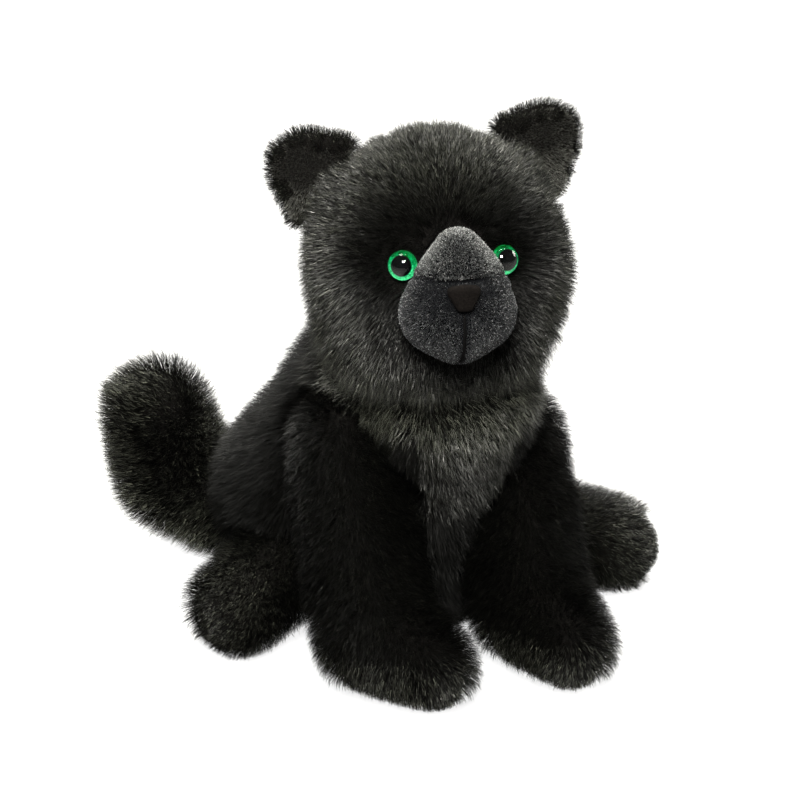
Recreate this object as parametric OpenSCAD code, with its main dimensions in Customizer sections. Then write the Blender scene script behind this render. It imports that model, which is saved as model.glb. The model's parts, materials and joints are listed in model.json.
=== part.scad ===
// Seated plush cat: sewn pile-fabric skins over soft stuffing, safety eyes, and limbs, head, tail
// and ears that flex at their seams. Millimetres, +Z up, the cat faces -Y, its left side is +X,
// and the origin is the middle of the flat seat panel that it rests on.

/* [Body] */
// Diameter of the round seat panel
seat_d = 72; // [60:1:80]
// Radius of the chest
chest_r = 34; // [30:1:36]
// Radius of the upper back
back_r = 44; // [38:1:46]
// Radius of the right haunch, which is the fuller one
haunch_right_r = 40; // [36:1:42]
// Radius of the left haunch
haunch_left_r = 36; // [34:1:40]

/* [Fabric] */
// Thickness of the long pile fabric, its backing and pressed pile together
pile_t = 8; // [6:0.5:9]
// Thickness of the short velour on the face
velour_t = 3; // [2:0.5:4]
// Room between a skin and the stuffing inside it
fill_gap = 0.3; // [0.2:0.1:0.6]
// Room between two moving soft parts
flex_gap = 0.8; // [0.5:0.1:1.2]

/* [Head] */
// Radius of the head
head_r = 50; // [46:1:51]
// Height of the middle of the head
head_z = 181; // [178:1:185]
// How far the head is turned to the cat's right
head_yaw = 11; // [0:1:15]
// Largest nod each way
nod_limit = 10; // [5:1:12]
// Drop from the middle of the head to the neck's centre
neck_drop = 40; // [36:1:42]
// Radius of the neck's ball of stuffing
neck_ball_r = 13; // [10:1:14]

/* [Face] */
// Radius of each half of the muzzle
muzzle_r = 16; // [14:0.5:17]
// Diameter of a safety eye
eye_d = 12; // [10:0.5:13]
// Diameter of a pupil
pupil_d = 7.4; // [6:0.2:8]
// Angle of each eye from straight ahead
eye_side_angle = 27.5; // [24:0.5:30]
// Angle of each eye above the middle of the head
eye_up_angle = 13; // [8:0.5:16]
// Width of the nose at its top
nose_w = 13; // [10:0.5:15]

/* [Ears] */
// Width of an ear at its root
ear_w = 48; // [42:1:52]
// Height of an ear above its root
ear_h = 27; // [24:1:32]
// Radius of an ear's round tip
ear_tip_r = 17; // [12:1:18]
// Lean of the right ear from upright
ear_right_lean = 58; // [45:1:60]
// Lean of the left ear from upright
ear_left_lean = 50; // [40:1:56]

/* [Legs] */
// Radius of a front leg at the shoulder
shoulder_r = 24; // [21:1:25]
// Radius of a front leg at the ankle
ankle_r = 25; // [22:1:26]
// Radius of a front paw at its toes
toe_r = 19.5; // [17:0.5:20]
// Radius of a hind leg at the hip
hip_r = 22.5; // [20:0.5:24]
// Radius of a hind paw
hind_paw_r = 21; // [18:0.5:22]
// How far a front leg swings back
leg_back_swing = 8; // [4:1:10]
// How far a front leg swings forward
leg_forward_swing = 15; // [8:1:18]
// How far a hind leg swings forward
hip_forward_swing = 15; // [10:1:18]
// How far a hind leg swings outward and back
hip_back_swing = 10; // [6:1:12]

/* [Tail] */
// Radius of the tail where it leaves the body
tail_root_r = 21; // [18:1:22]
// Radius of the tail at its fullest
tail_r = 23; // [20:1:24]
// How far the tail swings towards the body
tail_in_swing = 4; // [2:1:6]

/* [Hidden] */

pile_color = "#2b2a27";
velour_color = "#3d4045";
suede_color = "#3a302a";
fill_color = "#e8e6df";
facets = 20;
// Every soft part is pressed flat by this much where it touches the ground
press = 1.5;
big = 400;

// Soft parts are chains of balls, each given as [x, y, z, radius]
head_at = [-4, -42, head_z];
neck_at = [head_at[0], head_at[1], head_z - neck_drop];
chest = [2, -40, 116, chest_r];
back = [-4, -10, 110, back_r];
haunch_right = [-42, 18, 54, haunch_right_r];
haunch_left = [38, 18, 48, haunch_left_r];
belly = [0, -12, 46, 34];
torso_balls = [chest, back, haunch_right, haunch_left, belly];

front_right = [[-39, -26, 93, shoulder_r], [-42, -70, ankle_r - press, ankle_r],
               [-26, -94, toe_r - press, toe_r]];
front_left = [[36, -26, 86, shoulder_r - 1], [30, -70, ankle_r - press, ankle_r],
              [36, -97, toe_r - press, toe_r]];
hind_right = [[-59, -3, 30, hip_r], [-87, -19, hind_paw_r - press, hind_paw_r]];
hind_left = [[60, -4, 28, hip_r], [92, -16, hind_paw_r - press, hind_paw_r]];
tail_balls = [[-20, 58, 26, tail_root_r], [-54, 83, tail_r - press, tail_r],
              [-84, 87, 39, tail_r], [-93, 79, 75, tail_root_r]];

// A ball list seen from the head's own centre, which looks along -Y
muzzle_balls = [[-7, -50, -7, muzzle_r], [7, -50, -7, muzzle_r], [0, -51, -12, muzzle_r - 1]];
bridge_balls = [[-4, -47, 6, 10], [4, -47, 6, 10], [0, -46, 19, 7.5]];
nose_balls = [[-nose_w / 2 + 2, -64, 7, 2.4], [nose_w / 2 - 2, -64, 7, 2.4],
              [-1.5, -66, 1.5, 2.2], [1.5, -66, 1.5, 2.2], [0, -65, 7.5, 2.8]];

eye_seat = 45;
iris_t = 2;
dome_h = 4;
pupil_t = 1;
post_d = 3.6;
post_l = 14;
post_room = 0.2;
washer_d = 13;
washer_t = 1.6;
washer_at = -6;
socket_d = eye_d + 7;

ear_ball_r = 4.5;
ear_root = head_r + ear_ball_r - 1;
ear_set_back = 14;
ear_face_out = 8;
ear_tip_in = 3;
lining_border = 3;

seat_t = 6;
pouch_r = 26;
pouch_h = 20;
pouch_t = 1;
gusset_w = 30;
sole_t = 6;
thread_r = 0.7;

function shrink(balls, by) = [for (b = balls) [b[0], b[1], b[2], b[3] - by]];
function spin(ball, about, angle) = let (x = ball[0] - about[0], y = ball[1] - about[1])
  [about[0] + x * cos(angle) - y * sin(angle), about[1] + x * sin(angle) + y * cos(angle),
   ball[2], ball[3]];
function pitch(ball, about, angle) = let (y = ball[1] - about[1], z = ball[2] - about[2])
  [ball[0], about[1] + y * cos(angle) - z * sin(angle), about[2] + y * sin(angle) + z * cos(angle),
   ball[3]];

module ball(b) {
  translate([b[0], b[1], b[2]]) sphere(b[3], $fn = facets);
}

module wrap(balls) {
  hull() for (b = balls) ball(b);
}

module chain(balls) {
  for (i = [0 : len(balls) - 2]) wrap([balls[i], balls[i + 1]]);
}

module above(z) {
  translate([-big / 2, -big / 2, z]) cube([big, big, big]);
}

module limb(balls, inset = 0) {
  intersection() {
    chain(shrink(balls, inset));
    above(inset);
  }
}

module in_head() {
  translate(head_at) rotate([0, 0, -head_yaw]) children();
}

// Space that the head sweeps as it turns and nods, grown by room
module head_sweep(room) {
  reach = neck_drop * sin(nod_limit);
  hull() for (a = [0 : 60 : 300])
    translate([head_at[0] + reach * cos(a), head_at[1] + reach * sin(a), head_z])
      sphere(head_r + 3 + room, $fn = 32);
}

module shoulder_sweep(balls, room) {
  back_end = pitch(balls[1], balls[0], leg_back_swing);
  front_end = pitch(balls[1], balls[0], -leg_forward_swing);
  wrap(shrink([balls[0], balls[1], back_end, front_end], -room));
}

module hip_sweep(balls, side, room) {
  wrap(shrink([balls[0], balls[1], spin(balls[1], balls[0], -side * hip_forward_swing),
               spin(balls[1], balls[0], side * hip_back_swing)], -room));
}

module tail_sweep(room) {
  inner = spin(tail_balls[1], tail_balls[0], tail_in_swing);
  wrap(shrink([tail_balls[0], tail_balls[1], inner], -room));
}

module torso_form(inset) {
  room = flex_gap + inset;
  difference() {
    hull() {
      for (b = shrink(torso_balls, inset)) ball(b);
      translate([0, 0, inset]) cylinder(d = seat_d - inset, h = 1, $fn = 32);
    }
    head_sweep(room);
    shoulder_sweep(front_right, room);
    shoulder_sweep(front_left, room);
    hip_sweep(hind_right, -1, room);
    hip_sweep(hind_left, 1, room);
    tail_sweep(room);
  }
}

module neck_hole(room) {
  translate([neck_at[0], neck_at[1], 112 - room])
    cylinder(r = neck_ball_r - 2 + room, h = 60, $fn = 32);
}

module torso_shell() {
  difference() {
    torso_form(0);
    torso_form(pile_t);
    neck_hole(flex_gap);
    translate([0, 0, -1]) cylinder(d = seat_d - 4, h = seat_t + 1, $fn = 48);
  }
}

module chest_sector() {
  linear_extrude(big) polygon([[0, -14], [-34, -110], [38, -110]]);
}

module torso_half(side) {
  color(pile_color) intersection() {
    difference() {
      torso_shell();
      chest_sector();
    }
    translate([side > 0 ? 0 : -big, -big / 2, 0]) cube([big, big, big]);
  }
}

module torso_left_panel() {
  torso_half(1);
}

module torso_right_panel() {
  torso_half(-1);
}

module chest_panel() {
  color(pile_color) intersection() {
    torso_shell();
    chest_sector();
  }
}

module seat_panel() {
  color(pile_color) cylinder(d = seat_d - 4 - 3 * fill_gap, h = seat_t, $fn = 48);
}

module pouch_space(extra) {
  translate([0, 0, pile_t + 1 - extra])
    cylinder(r = pouch_r + extra, h = pouch_h + 2 * extra, $fn = 48);
}

module torso_stuffing() {
  color(fill_color) difference() {
    torso_form(pile_t + fill_gap);
    pouch_space(fill_gap);
    neck_hole(flex_gap);
  }
}

module pellet_pouch() {
  color("#d9d4c8") difference() {
    pouch_space(0);
    pouch_space(-pouch_t);
  }
}

module seat_pellets() {
  color("white") pouch_space(-pouch_t - 0.1);
}

module neck_stuffing() {
  color(fill_color) {
    translate(neck_at) sphere(neck_ball_r, $fn = 32);
    translate([neck_at[0], neck_at[1], 112.5])
      cylinder(r = neck_ball_r - 2.5, h = neck_at[2] - 112.5, $fn = 32);
  }
}

module head_form(inset) {
  hull() {
    sphere(head_r - inset, $fn = 28);
    for (x = [-8, 8]) translate([x, -2, -8]) sphere(head_r - 8 - inset, $fn = 24);
  }
}

module muzzle_form(inset) {
  wrap(shrink(muzzle_balls, inset));
  wrap(shrink(bridge_balls, inset));
}

module neck_socket(room) {
  translate([0, 0, -neck_drop]) {
    sphere(neck_ball_r + room, $fn = 32);
    translate([0, 0, -25]) cylinder(r = neck_ball_r + room, h = 25, $fn = 32);
  }
}

module at_eye(side) {
  rotate([90 - eye_up_angle, 0, side * eye_side_angle]) translate([0, 0, eye_seat]) children();
}

module eye_sockets() {
  for (side = [-1, 1]) at_eye(side) {
    cylinder(d1 = socket_d - 5, d2 = socket_d + 1, h = 10, $fn = 24);
    translate([0, 0, -post_l]) cylinder(d = post_d + 2 * post_room, h = post_l + 1, $fn = 24);
  }
}

module head_shell() {
  difference() {
    head_form(0);
    head_form(pile_t);
    muzzle_form(0);
    neck_socket(flex_gap);
    eye_sockets();
  }
}

// The gusset runs from the top of the nose bridge over the crown to the nape
module gusset_strip() {
  translate([-gusset_w / 2, -big / 2, 10]) cube([gusset_w, big, big]);
  translate([-gusset_w / 2, 0, -20]) cube([gusset_w, big, big]);
}

module head_side(side) {
  color(pile_color) in_head() intersection() {
    difference() {
      head_shell();
      gusset_strip();
    }
    translate([side > 0 ? 0 : -big, -big / 2, -big / 2]) cube([big, big, big]);
  }
}

module head_left_panel() {
  head_side(1);
}

module head_right_panel() {
  head_side(-1);
}

module head_gusset() {
  color(pile_color) in_head() intersection() {
    head_shell();
    gusset_strip();
  }
}

module nose_form() {
  wrap(nose_balls);
}

module muzzle_shell() {
  difference() {
    muzzle_form(0);
    muzzle_form(velour_t);
    head_form(pile_t);
    nose_form();
    mouth_line(thread_r + fill_gap);
    eye_sockets();
  }
}

module bridge_panel() {
  color(velour_color) in_head() intersection() {
    muzzle_shell();
    translate([0, 0, 3]) translate([-big / 2, -big / 2, 0]) cube([big, big, big]);
  }
}

module muzzle_half(side) {
  color(velour_color) in_head() intersection() {
    muzzle_shell();
    translate([side > 0 ? 0 : -big, -big / 2, 3 - big]) cube([big, big, big]);
  }
}

module muzzle_left_panel() {
  muzzle_half(1);
}

module muzzle_right_panel() {
  muzzle_half(-1);
}

module nose() {
  color(suede_color) in_head() nose_form();
}

// The mouth's seam thread runs from under the nose round to the chin, half sunk in a groove
module mouth_line(r) {
  translate([0, -50, -10.5]) rotate([0, -90, 0]) rotate([0, 0, -150])
    rotate_extrude(angle = 90, $fn = 48) translate([muzzle_r + 0.6, 0]) circle(r = r, $fn = 24);
}

module mouth_stitch() {
  color("#161412") in_head() mouth_line(thread_r);
}

module head_stuffing() {
  color(fill_color) in_head() difference() {
    union() {
      head_form(pile_t + fill_gap);
      wrap(shrink(muzzle_balls, velour_t + fill_gap));
    }
    neck_socket(flex_gap);
    for (side = [-1, 1]) at_eye(side) {
      translate([0, 0, washer_at - fill_gap])
        cylinder(d = washer_d + 2 * fill_gap, h = 4, $fn = 24);
      translate([0, 0, -post_l - fill_gap]) cylinder(d = post_d + 1, h = post_l, $fn = 24);
    }
  }
}

module eye_dome(side) {
  rim_r = eye_d / 2;
  cap_r = (rim_r * rim_r + dome_h * dome_h) / (2 * dome_h);
  color("lightcyan", 0.35) in_head() at_eye(side) translate([0, 0, iris_t]) difference() {
    intersection() {
      translate([0, 0, dome_h - cap_r]) sphere(cap_r, $fn = 48);
      cylinder(r = rim_r + 1, h = dome_h + 1, $fn = 48);
    }
    translate([0, 0, -1]) cylinder(d = pupil_d, h = pupil_t + 1, $fn = 48);
  }
}

module eye_iris(side) {
  color("#18b050") in_head() at_eye(side) difference() {
    cylinder(d = eye_d, h = iris_t, $fn = 48);
    translate([0, 0, -1]) cylinder(d = post_d, h = iris_t + 2, $fn = 48);
  }
}

module eye_stem(side) {
  color("black") in_head() at_eye(side) {
    translate([0, 0, iris_t]) cylinder(d = pupil_d, h = pupil_t, $fn = 48);
    translate([0, 0, -post_l + 0.5]) cylinder(d = post_d, h = post_l + iris_t, $fn = 48);
  }
}

module eye_washer(side) {
  color("white") in_head() at_eye(side) translate([0, 0, washer_at]) difference() {
    cylinder(d = washer_d, h = washer_t, $fn = 48);
    translate([0, 0, -1]) cylinder(d = post_d, h = washer_t + 2, $fn = 48);
  }
}

module eye_left_dome() {
  eye_dome(1);
}

module eye_left_iris() {
  eye_iris(1);
}

module eye_left_stem() {
  eye_stem(1);
}

module eye_left_washer() {
  eye_washer(1);
}

module eye_right_dome() {
  eye_dome(-1);
}

module eye_right_iris() {
  eye_iris(-1);
}

module eye_right_stem() {
  eye_stem(-1);
}

module eye_right_washer() {
  eye_washer(-1);
}

module at_ear(side, lean) {
  in_head() rotate([0, side * lean, 0]) translate([0, ear_set_back, ear_root])
    rotate([0, 0, side * ear_face_out]) children();
}

// A broad rounded flap that stands on the ear's hinge line, narrowed all round by border
module ear_form(side, border) {
  half = ear_w / 2 - ear_ball_r - border;
  tip = ear_tip_r - ear_ball_r - border;
  hull() {
    for (x = [-half, half]) translate([x, 0, 0]) sphere(ear_ball_r, $fn = facets);
    for (a = [0 : 30 : 180])
      translate([-side * ear_tip_in + tip * cos(a), 0, ear_h - ear_tip_r + tip * sin(a)])
        sphere(ear_ball_r, $fn = facets);
  }
}

module ear_back(side, lean) {
  color(pile_color) at_ear(side, lean) difference() {
    ear_form(side, 0);
    intersection() {
      ear_form(side, lining_border);
      translate([-big / 2, -big - 1, -big / 2]) cube([big, big, big]);
    }
  }
}

module ear_lining(side, lean) {
  color(velour_color) at_ear(side, lean) intersection() {
    ear_form(side, lining_border);
    translate([-big / 2, -big - 1, -big / 2]) cube([big, big, big]);
  }
}

module ear_left_back() {
  ear_back(1, ear_left_lean);
}

module ear_left_lining() {
  ear_lining(1, ear_left_lean);
}

module ear_right_back() {
  ear_back(-1, ear_right_lean);
}

module ear_right_lining() {
  ear_lining(-1, ear_right_lean);
}

module limb_stuffing(balls) {
  color(fill_color) limb(balls, pile_t + fill_gap);
}

module limb_shell(balls) {
  difference() {
    limb(balls);
    limb(balls, pile_t);
  }
}

// A front paw's sole is its lowest layer, from the ankle to the toes
module front_sole_region(balls) {
  hull() for (i = [1, 2])
    translate([balls[i][0], balls[i][1], -1]) cylinder(r = balls[i][3] - 3, h = sole_t + 1, $fn = 32);
}

module front_skin(balls) {
  color(pile_color) difference() {
    limb_shell(balls);
    front_sole_region(balls);
  }
}

module front_sole(balls) {
  color(pile_color) intersection() {
    limb_shell(balls);
    front_sole_region(balls);
  }
}

// A hind paw's sole is the round end of the leg, which faces the way the leg points
module hind_sole_region(balls) {
  hip = balls[0];
  paw = balls[1];
  translate([paw[0], paw[1], 0]) rotate([0, 0, atan2(paw[1] - hip[1], paw[0] - hip[0])])
    translate([hind_paw_r - sole_t - 2, -big / 2, -1]) cube([big, big, big]);
}

module hind_skin(balls) {
  color(pile_color) difference() {
    limb_shell(balls);
    hind_sole_region(balls);
  }
}

module hind_sole(balls) {
  color(pile_color) intersection() {
    limb_shell(balls);
    hind_sole_region(balls);
  }
}

module front_leg_left_skin() {
  front_skin(front_left);
}

module front_leg_left_sole() {
  front_sole(front_left);
}

module front_leg_left_stuffing() {
  limb_stuffing(front_left);
}

module front_leg_right_skin() {
  front_skin(front_right);
}

module front_leg_right_sole() {
  front_sole(front_right);
}

module front_leg_right_stuffing() {
  limb_stuffing(front_right);
}

module hind_leg_left_skin() {
  hind_skin(hind_left);
}

module hind_leg_left_sole() {
  hind_sole(hind_left);
}

module hind_leg_left_stuffing() {
  limb_stuffing(hind_left);
}

module hind_leg_right_skin() {
  hind_skin(hind_right);
}

module hind_leg_right_sole() {
  hind_sole(hind_right);
}

module hind_leg_right_stuffing() {
  limb_stuffing(hind_right);
}

module tail_skin() {
  color(pile_color) limb_shell(tail_balls);
}

module tail_stuffing() {
  limb_stuffing(tail_balls);
}

torso_left_panel();
torso_right_panel();
chest_panel();
seat_panel();
torso_stuffing();
pellet_pouch();
seat_pellets();
neck_stuffing();
head_left_panel();
head_right_panel();
head_gusset();
bridge_panel();
muzzle_left_panel();
muzzle_right_panel();
nose();
mouth_stitch();
head_stuffing();
eye_left_dome();
eye_left_iris();
eye_left_stem();
eye_left_washer();
eye_right_dome();
eye_right_iris();
eye_right_stem();
eye_right_washer();
ear_left_back();
ear_left_lining();
ear_right_back();
ear_right_lining();
front_leg_left_skin();
front_leg_left_sole();
front_leg_left_stuffing();
front_leg_right_skin();
front_leg_right_sole();
front_leg_right_stuffing();
hind_leg_left_skin();
hind_leg_left_sole();
hind_leg_left_stuffing();
hind_leg_right_skin();
hind_leg_right_sole();
hind_leg_right_stuffing();
tail_skin();
tail_stuffing();
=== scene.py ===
import heapq
import json
import math

import bmesh
import bpy
import numpy as np
from mathutils import Matrix, Vector, noise
from mathutils.bvhtree import BVHTree
from mathutils.kdtree import KDTree


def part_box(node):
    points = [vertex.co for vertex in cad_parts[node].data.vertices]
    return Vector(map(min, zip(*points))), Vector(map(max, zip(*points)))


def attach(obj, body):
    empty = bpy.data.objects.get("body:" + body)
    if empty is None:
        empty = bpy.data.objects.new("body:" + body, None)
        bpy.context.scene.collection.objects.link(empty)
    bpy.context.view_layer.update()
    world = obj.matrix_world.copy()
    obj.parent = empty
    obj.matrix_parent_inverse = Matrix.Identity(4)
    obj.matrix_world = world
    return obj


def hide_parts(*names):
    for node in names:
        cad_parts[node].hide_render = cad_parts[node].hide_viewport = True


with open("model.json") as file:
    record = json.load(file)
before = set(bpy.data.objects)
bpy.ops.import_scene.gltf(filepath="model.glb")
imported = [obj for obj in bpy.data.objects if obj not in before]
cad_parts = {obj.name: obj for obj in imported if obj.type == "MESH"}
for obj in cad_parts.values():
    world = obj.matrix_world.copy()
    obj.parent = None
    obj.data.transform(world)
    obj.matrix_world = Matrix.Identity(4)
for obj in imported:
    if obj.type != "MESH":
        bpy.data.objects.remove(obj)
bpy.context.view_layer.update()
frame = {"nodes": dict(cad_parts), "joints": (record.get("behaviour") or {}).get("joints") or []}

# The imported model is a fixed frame. Most of its solids are replaced here by softer pieces: rounded
# skins, blades of pile that stand on them, stuffing and a pouch inside, and finer eyes. All lengths
# are in metres, in the frame's own axes: the body faces -Y, and +X is the cat's left.

MM = 0.001
JOINTS = {joint["name"]: joint for joint in frame["joints"]}
DOWN = np.array((0.0, 0.0, -1.0))


def joint_place(name):
    """A point on a joint's axis."""
    return Vector(JOINTS[name]["pos_m"])


def corner_mean(node):
    """The middle of a CAD node's box."""
    low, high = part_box(node)
    return (low + high) / 2


# Places that the rest of the script is worked out from. The head's middle is above the joint.
NECK_DROP = 40 * MM
NECK = joint_place("neck_turn")
HEAD = NECK + Vector((0, 0, NECK_DROP))
NOD_AXIS = Vector(JOINTS["head_nod"]["axis"])
HEAD_TURN = Matrix.Rotation(math.atan2(NOD_AXIS.y, NOD_AXIS.x), 3, "Z")
SIDES = ("left", "right")

# ---------------------------------------------------------------- camera

CAMERA_AZIMUTH = math.radians(-20)
CAMERA_ELEVATION = math.radians(23)
CAMERA_DISTANCE = 1.3
CAMERA_AIM = Vector((-0.021, -0.044, 0.118))
SEEN_WIDTH = 0.336
SENSOR_WIDTH = 36


def make_camera():
    """The camera, turned towards the cat's right and looking down on it."""
    back = Vector((
        math.sin(CAMERA_AZIMUTH) * math.cos(CAMERA_ELEVATION),
        -math.cos(CAMERA_AZIMUTH) * math.cos(CAMERA_ELEVATION),
        math.sin(CAMERA_ELEVATION),
    ))
    data = bpy.data.cameras.new("camera")
    data.sensor_width = SENSOR_WIDTH
    data.lens = data.sensor_width * CAMERA_DISTANCE / SEEN_WIDTH
    camera = bpy.data.objects.new("camera", data)
    bpy.context.scene.collection.objects.link(camera)
    camera.location = CAMERA_AIM + back * CAMERA_DISTANCE
    camera.rotation_mode = "QUATERNION"
    camera.rotation_quaternion = (-back).to_track_quat("-Z", "Y")
    bpy.context.scene.camera = camera


# ---------------------------------------------------------------- mesh helpers


def add_object(name, mesh):
    obj = bpy.data.objects.new(name, mesh)
    bpy.context.scene.collection.objects.link(obj)
    return obj


def joined_copy(name, nodes):
    """One object that holds copies of the meshes of several CAD nodes."""
    joined = bmesh.new()
    for node in nodes:
        joined.from_mesh(frame["nodes"][node].data)
    mesh = bpy.data.meshes.new(name)
    joined.to_mesh(mesh)
    joined.free()
    return add_object(name, mesh)


def apply_modifiers(obj):
    """Keeps the mesh that the modifiers make, and removes them."""
    depsgraph = bpy.context.evaluated_depsgraph_get()
    mesh = bpy.data.meshes.new_from_object(obj.evaluated_get(depsgraph))
    obj.modifiers.clear()
    obj.data = mesh


def get_points(mesh):
    points = np.empty(len(mesh.vertices) * 3, np.float32)
    mesh.vertices.foreach_get("co", points)
    return points.reshape(-1, 3).astype(float)


def set_points(mesh, points):
    mesh.vertices.foreach_set("co", points.astype(np.float32).ravel())
    mesh.update()


def vertex_normals(mesh):
    normals = np.empty(len(mesh.vertices) * 3, np.float32)
    mesh.vertex_normals.foreach_get("vector", normals)
    return normals.reshape(-1, 3).astype(float)


def unit(vectors):
    """The same directions with length 1."""
    return vectors / np.maximum(np.linalg.norm(vectors, axis=-1, keepdims=True), 1e-12)


def ramp(values, low, high):
    """0 below low, 1 above high, and a straight line between."""
    return np.clip((values - low) / (high - low), 0, 1)


def shade_smooth(obj):
    obj.data.polygons.foreach_set("use_smooth", [True] * len(obj.data.polygons))


def node_tree(nodes):
    """A search tree over the surfaces of some CAD nodes."""
    joined = bmesh.new()
    for node in nodes:
        joined.from_mesh(frame["nodes"][node].data)
    tree = BVHTree.FromBMesh(joined)
    joined.free()
    return tree


def distance_to(tree, points):
    """How far each point is from the surfaces of a search tree."""
    return np.array([tree.find_nearest(Vector(point))[3] for point in points])


# ---------------------------------------------------------------- soft skins

SKIN_DEPTH = 3.2 * MM
PRESSURE_FRAMES = 20
PRESSURE = 4
STRETCH_STIFFNESS = 12
LUMP_SIZE = 22 * MM


def inflate(obj, cap):
    """Puffs a closed skin with the cloth solver, and lets no point move further than cap."""
    rest = get_points(obj.data)
    cloth = obj.modifiers.new("Cloth", "CLOTH")
    cloth.settings.quality = 4
    cloth.settings.mass = 0.3
    cloth.settings.tension_stiffness = STRETCH_STIFFNESS
    cloth.settings.compression_stiffness = STRETCH_STIFFNESS
    cloth.settings.bending_stiffness = 0.4
    cloth.settings.use_pressure = True
    cloth.settings.uniform_pressure_force = PRESSURE
    cloth.settings.effector_weights.gravity = 0
    cloth.point_cache.frame_end = PRESSURE_FRAMES
    for step in range(1, PRESSURE_FRAMES + 1):
        bpy.context.scene.frame_set(step)
    apply_modifiers(obj)
    bpy.context.scene.frame_set(1)
    moved = get_points(obj.data) - rest
    reach = np.linalg.norm(moved, axis=1, keepdims=True)
    set_points(obj.data, rest + moved * np.minimum(1, cap / np.maximum(reach, 1e-9)))


def add_lumps(obj, height, size, seed):
    """Pushes a skin in and out a little, as uneven stuffing does."""
    points, normals = get_points(obj.data), vertex_normals(obj.data)
    shift = Vector((seed * 3.1, seed * 1.7, seed * 0.9))
    lumps = np.array([noise.noise(Vector(p) / size + shift) for p in points])
    set_points(obj.data, points + normals * (lumps * height)[:, None])


def soft_skin(name, nodes, voxel=3 * MM, depth=SKIN_DEPTH, smooth=10, puff=1.5 * MM,
              lumps=1.2 * MM, seed=1):
    """A closed, rounded skin that lies a little inside the CAD solids that it stands for."""
    obj = joined_copy(name, nodes)
    remesh = obj.modifiers.new("Remesh", "REMESH")
    remesh.mode = "VOXEL"
    remesh.voxel_size = voxel
    rounding = obj.modifiers.new("Smooth", "SMOOTH")
    rounding.factor = 0.5
    rounding.iterations = smooth
    inset = obj.modifiers.new("Inset", "DISPLACE")
    inset.mid_level = 0
    inset.strength = -(depth + puff / 2)
    apply_modifiers(obj)
    obj.data.materials.clear()
    if puff:
        inflate(obj, puff)
    if lumps:
        add_lumps(obj, lumps, LUMP_SIZE, seed)
    shade_smooth(obj)
    return obj


# ---------------------------------------------------------------- which way the pile lies


def walk_distance(points, edges, sources):
    """Length of the shortest way along the mesh from the sources to every vertex."""
    near = [[] for _ in points]
    lengths = np.linalg.norm(points[edges[:, 0]] - points[edges[:, 1]], axis=1)
    for (a, b), length in zip(edges.tolist(), lengths.tolist()):
        near[a].append((b, length))
        near[b].append((a, length))
    distance = np.full(len(points), np.inf)
    distance[sources] = 0
    queue = [(0.0, int(s)) for s in sources]
    while queue:
        so_far, at = heapq.heappop(queue)
        if so_far > distance[at]:
            continue
        for other, length in near[at]:
            if so_far + length < distance[other]:
                distance[other] = so_far + length
                heapq.heappush(queue, (so_far + length, other))
    distance[~np.isfinite(distance)] = 0
    return distance


def neighbour_mean(values, edges, rounds):
    """Evens out the values at the vertices, each with its neighbours, some rounds long."""
    count = np.zeros(len(values))
    np.add.at(count, edges[:, 0], 1)
    np.add.at(count, edges[:, 1], 1)
    count = np.maximum(count, 1)
    shape = (-1,) + (1,) * (values.ndim - 1)
    for _ in range(rounds):
        total = np.zeros_like(values)
        np.add.at(total, edges[:, 0], values[edges[:, 1]])
        np.add.at(total, edges[:, 1], values[edges[:, 0]])
        values = 0.5 * values + 0.5 * total / count.reshape(shape)
    return values


class Surface:
    """A skin as arrays, with the way that its pile is combed at every vertex: along the skin,
    away from the source."""

    def __init__(self, obj, source, source_reach=6 * MM):
        mesh = obj.data
        mesh.calc_loop_triangles()
        self.points = get_points(mesh)
        self.normals = vertex_normals(mesh)
        self.triangles = np.array([t.vertices[:] for t in mesh.loop_triangles])
        edges = np.array([e.vertices[:] for e in mesh.edges])
        away = np.linalg.norm(self.points - np.array(source), axis=1)
        sources = np.nonzero(away < away.min() + source_reach)[0]
        distance = neighbour_mean(walk_distance(self.points, edges, sources), edges, 12)
        step = self.points[edges[:, 1]] - self.points[edges[:, 0]]
        rise = (distance[edges[:, 1]] - distance[edges[:, 0]])[:, None]
        slope = step * rise / np.maximum((step**2).sum(1, keepdims=True), 1e-12)
        flow = np.zeros_like(self.points)
        np.add.at(flow, edges[:, 0], slope)
        np.add.at(flow, edges[:, 1], slope)
        self.flow = unit(neighbour_mean(flow, edges, 8))

    def sample(self, per_mm2, rng):
        """Random roots spread evenly over the skin, with their normals and combing directions."""
        a, b, c = (self.points[self.triangles[:, k]] for k in range(3))
        areas = np.linalg.norm(np.cross(b - a, c - a), axis=1) / 2
        count = int(areas.sum() / MM**2 * per_mm2)
        picked = rng.choice(len(areas), count, p=areas / areas.sum())
        u, v = rng.random((2, count))
        flip = u + v > 1
        u[flip], v[flip] = 1 - u[flip], 1 - v[flip]
        weights = np.stack([1 - u - v, u, v], 1)[:, :, None]
        corners = self.triangles[picked]
        roots, normals, flow = (
            (values[corners] * weights).sum(1) for values in (self.points, self.normals, self.flow)
        )
        return roots, unit(normals), flow


# ---------------------------------------------------------------- pile

GROUND_CLEARANCE = 0.4 * MM
# Large primes mix a cell's three numbers into one, and the steps turn it into three values
CELL_PRIMES = (73856093, 19349663, 83492791)
CELL_STEPS = (0.6180339, 0.7548776, 0.5698402)


def cell_noise(points, size, seed):
    """One random vector for each small cell of space, the same for every root in the cell."""
    shifted = np.floor(points / size + 1000 + seed * 0.37).astype(np.int64)
    x, y, z = (shifted[:, axis] * prime for axis, prime in enumerate(CELL_PRIMES))
    key = np.abs((x ^ y ^ z) + seed * 2654435761) % 1000003
    values = np.stack([key * step % 1 for step in CELL_STEPS], 1)
    return values * 2 - 1


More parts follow.
